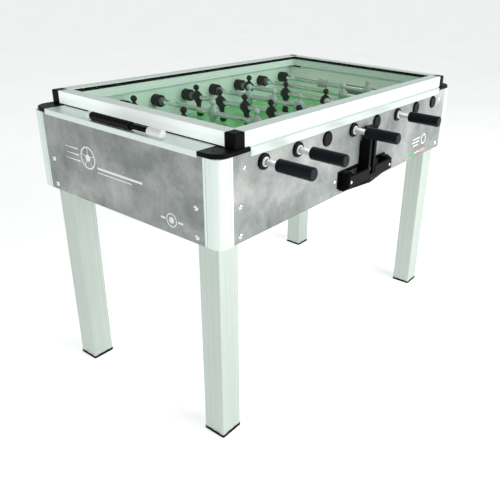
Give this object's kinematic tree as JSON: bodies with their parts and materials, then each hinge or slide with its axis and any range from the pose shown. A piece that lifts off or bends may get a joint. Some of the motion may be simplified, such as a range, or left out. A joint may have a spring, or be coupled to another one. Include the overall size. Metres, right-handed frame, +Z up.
{
  "type": "foosball table",
  "caption": "Foosball table with a glass cover, telescopic rods with players, bead score counters, a ball tray and square aluminium legs.",
  "frame": {"origin": "on the floor, under the middle of the table", "axes": "+X along the table's length, -Y towards the side with the ball tray, +Z up"},
  "size_m": [1.3778, 1.096, 0.945],
  "materials": {
    "concrete_laminate": "matt concrete-look laminate on board",
    "white_laminate": "satin white laminate on board",
    "field_print": "glossy green printed board with white lines",
    "anodised_aluminium": "satin anodised extrusion",
    "black_moulding": "fine-textured black moulded plastic",
    "black_gloss": "polished black plastic",
    "handle_rubber": "satin black rubber grip",
    "seal_rubber": "black rubber",
    "buffer_rubber": "grey rubber",
    "chromed_steel": "polished chrome",
    "sheet_steel": "plain zinc-coated sheet",
    "cover_glass": "clear toughened glass with a faint green tint",
    "player_black": "semi-gloss black moulding",
    "player_light": "translucent pale grey moulding",
    "collar_plastic": "pale grey plastic",
    "white_moulding": "semi-gloss white plastic"
  },
  "bodies": {
    "cabinet": {"side_panels": "concrete_laminate", "end_panels": "concrete_laminate", "corner_profiles": "anodised_aluminium", "goal_walls": "white_laminate", "playing_field": "field_print", "ball_ramp": "sheet_steel", "legs": "anodised_aluminium", "leg_feet": "black_moulding", "leg_brackets": "anodised_aluminium", "side_skirts": "anodised_aluminium", "end_ledges": "anodised_aluminium", "corner_caps": "black_moulding", "cover_rails": "anodised_aluminium", "cover_glass": "cover_glass", "cover_gasket": "seal_rubber", "panel_screws": "chromed_steel", "rod_bushings": "black_gloss", "blind_plugs": "black_gloss", "wall_cups": "black_moulding", "wall_buffers": "buffer_rubber", "score_posts": "white_moulding", "ball_tray": "black_moulding", "coin_column": "black_moulding"},
    "guide_1": {"rod_1_guide": "chromed_steel"},
    "rod_1": {"rod_1_tube": "chromed_steel", "rod_1_handle": "handle_rubber", "rod_1_players": "player_black", "rod_1_collars": "collar_plastic"},
    "guide_2": {"rod_2_guide": "chromed_steel"},
    "rod_2": {"rod_2_tube": "chromed_steel", "rod_2_handle": "handle_rubber", "rod_2_players": "player_black"},
    "guide_3": {"rod_3_guide": "chromed_steel"},
    "rod_3": {"rod_3_tube": "chromed_steel", "rod_3_handle": "handle_rubber", "rod_3_players": "player_light"},
    "guide_4": {"rod_4_guide": "chromed_steel"},
    "rod_4": {"rod_4_tube": "chromed_steel", "rod_4_handle": "handle_rubber", "rod_4_players": "player_black"},
    "guide_5": {"rod_5_guide": "chromed_steel"},
    "rod_5": {"rod_5_tube": "chromed_steel", "rod_5_handle": "handle_rubber", "rod_5_players": "player_light"},
    "guide_6": {"rod_6_guide": "chromed_steel"},
    "rod_6": {"rod_6_tube": "chromed_steel", "rod_6_handle": "handle_rubber", "rod_6_players": "player_black"},
    "guide_7": {"rod_7_guide": "chromed_steel"},
    "rod_7": {"rod_7_tube": "chromed_steel", "rod_7_handle": "handle_rubber", "rod_7_players": "player_light"},
    "guide_8": {"rod_8_guide": "chromed_steel"},
    "rod_8": {"rod_8_tube": "chromed_steel", "rod_8_handle": "handle_rubber", "rod_8_players": "player_light", "rod_8_collars": "collar_plastic"},
    "score_beads_left": {"score_beads_left": "black_gloss"},
    "score_beads_right": {"score_beads_right": "black_gloss"},
    "release_knob": {"release_knob": "chromed_steel"}
  },
  "joints": [
    {"name": "rod_1_spin", "type": "hinge", "parent": "cabinet", "child": "guide_1", "pos_m": [-0.518, 0, 0.856], "axis": [0, 1, 0], "continuous": true},
    {"name": "rod_1_slide", "type": "slide", "parent": "guide_1", "child": "rod_1", "axis": [0, -1, 0], "range_m": [0, 0.184]},
    {"name": "rod_2_spin", "type": "hinge", "parent": "cabinet", "child": "guide_2", "pos_m": [-0.37, 0, 0.856], "axis": [0, 1, 0], "continuous": true},
    {"name": "rod_2_slide", "type": "slide", "parent": "guide_2", "child": "rod_2", "axis": [0, -1, 0], "range_m": [0, 0.368]},
    {"name": "rod_3_spin", "type": "hinge", "parent": "cabinet", "child": "guide_3", "pos_m": [-0.222, 0, 0.856], "axis": [0, 1, 0], "continuous": true},
    {"name": "rod_3_slide", "type": "slide", "parent": "guide_3", "child": "rod_3", "axis": [0, 1, 0], "range_m": [0, 0.224]},
    {"name": "rod_4_spin", "type": "hinge", "parent": "cabinet", "child": "guide_4", "pos_m": [-0.074, 0, 0.856], "axis": [0, 1, 0], "continuous": true},
    {"name": "rod_4_slide", "type": "slide", "parent": "guide_4", "child": "rod_4", "axis": [0, -1, 0], "range_m": [0, 0.128]},
    {"name": "rod_5_spin", "type": "hinge", "parent": "cabinet", "child": "guide_5", "pos_m": [0.074, 0, 0.856], "axis": [0, 1, 0], "continuous": true},
    {"name": "rod_5_slide", "type": "slide", "parent": "guide_5", "child": "rod_5", "axis": [0, 1, 0], "range_m": [0, 0.128]},
    {"name": "rod_6_spin", "type": "hinge", "parent": "cabinet", "child": "guide_6", "pos_m": [0.222, 0, 0.856], "axis": [0, 1, 0], "continuous": true},
    {"name": "rod_6_slide", "type": "slide", "parent": "guide_6", "child": "rod_6", "axis": [0, -1, 0], "range_m": [0, 0.224]},
    {"name": "rod_7_spin", "type": "hinge", "parent": "cabinet", "child": "guide_7", "pos_m": [0.37, 0, 0.856], "axis": [0, 1, 0], "continuous": true},
    {"name": "rod_7_slide", "type": "slide", "parent": "guide_7", "child": "rod_7", "axis": [0, 1, 0], "range_m": [0, 0.368]},
    {"name": "rod_8_spin", "type": "hinge", "parent": "cabinet", "child": "guide_8", "pos_m": [0.518, 0, 0.856], "axis": [0, 1, 0], "continuous": true},
    {"name": "rod_8_slide", "type": "slide", "parent": "guide_8", "child": "rod_8", "axis": [0, 1, 0], "range_m": [0, 0.184]},
    {"name": "left_score_slide", "type": "slide", "parent": "cabinet", "child": "score_beads_left", "axis": [0, -1, 0], "range_m": [0, 0.071]},
    {"name": "right_score_slide", "type": "slide", "parent": "cabinet", "child": "score_beads_right", "axis": [0, 1, 0], "range_m": [0, 0.071]},
    {"name": "release_slide", "type": "slide", "parent": "cabinet", "child": "release_knob", "axis": [0, 0, 1], "range_m": [0, 0.06]}
  ]
}
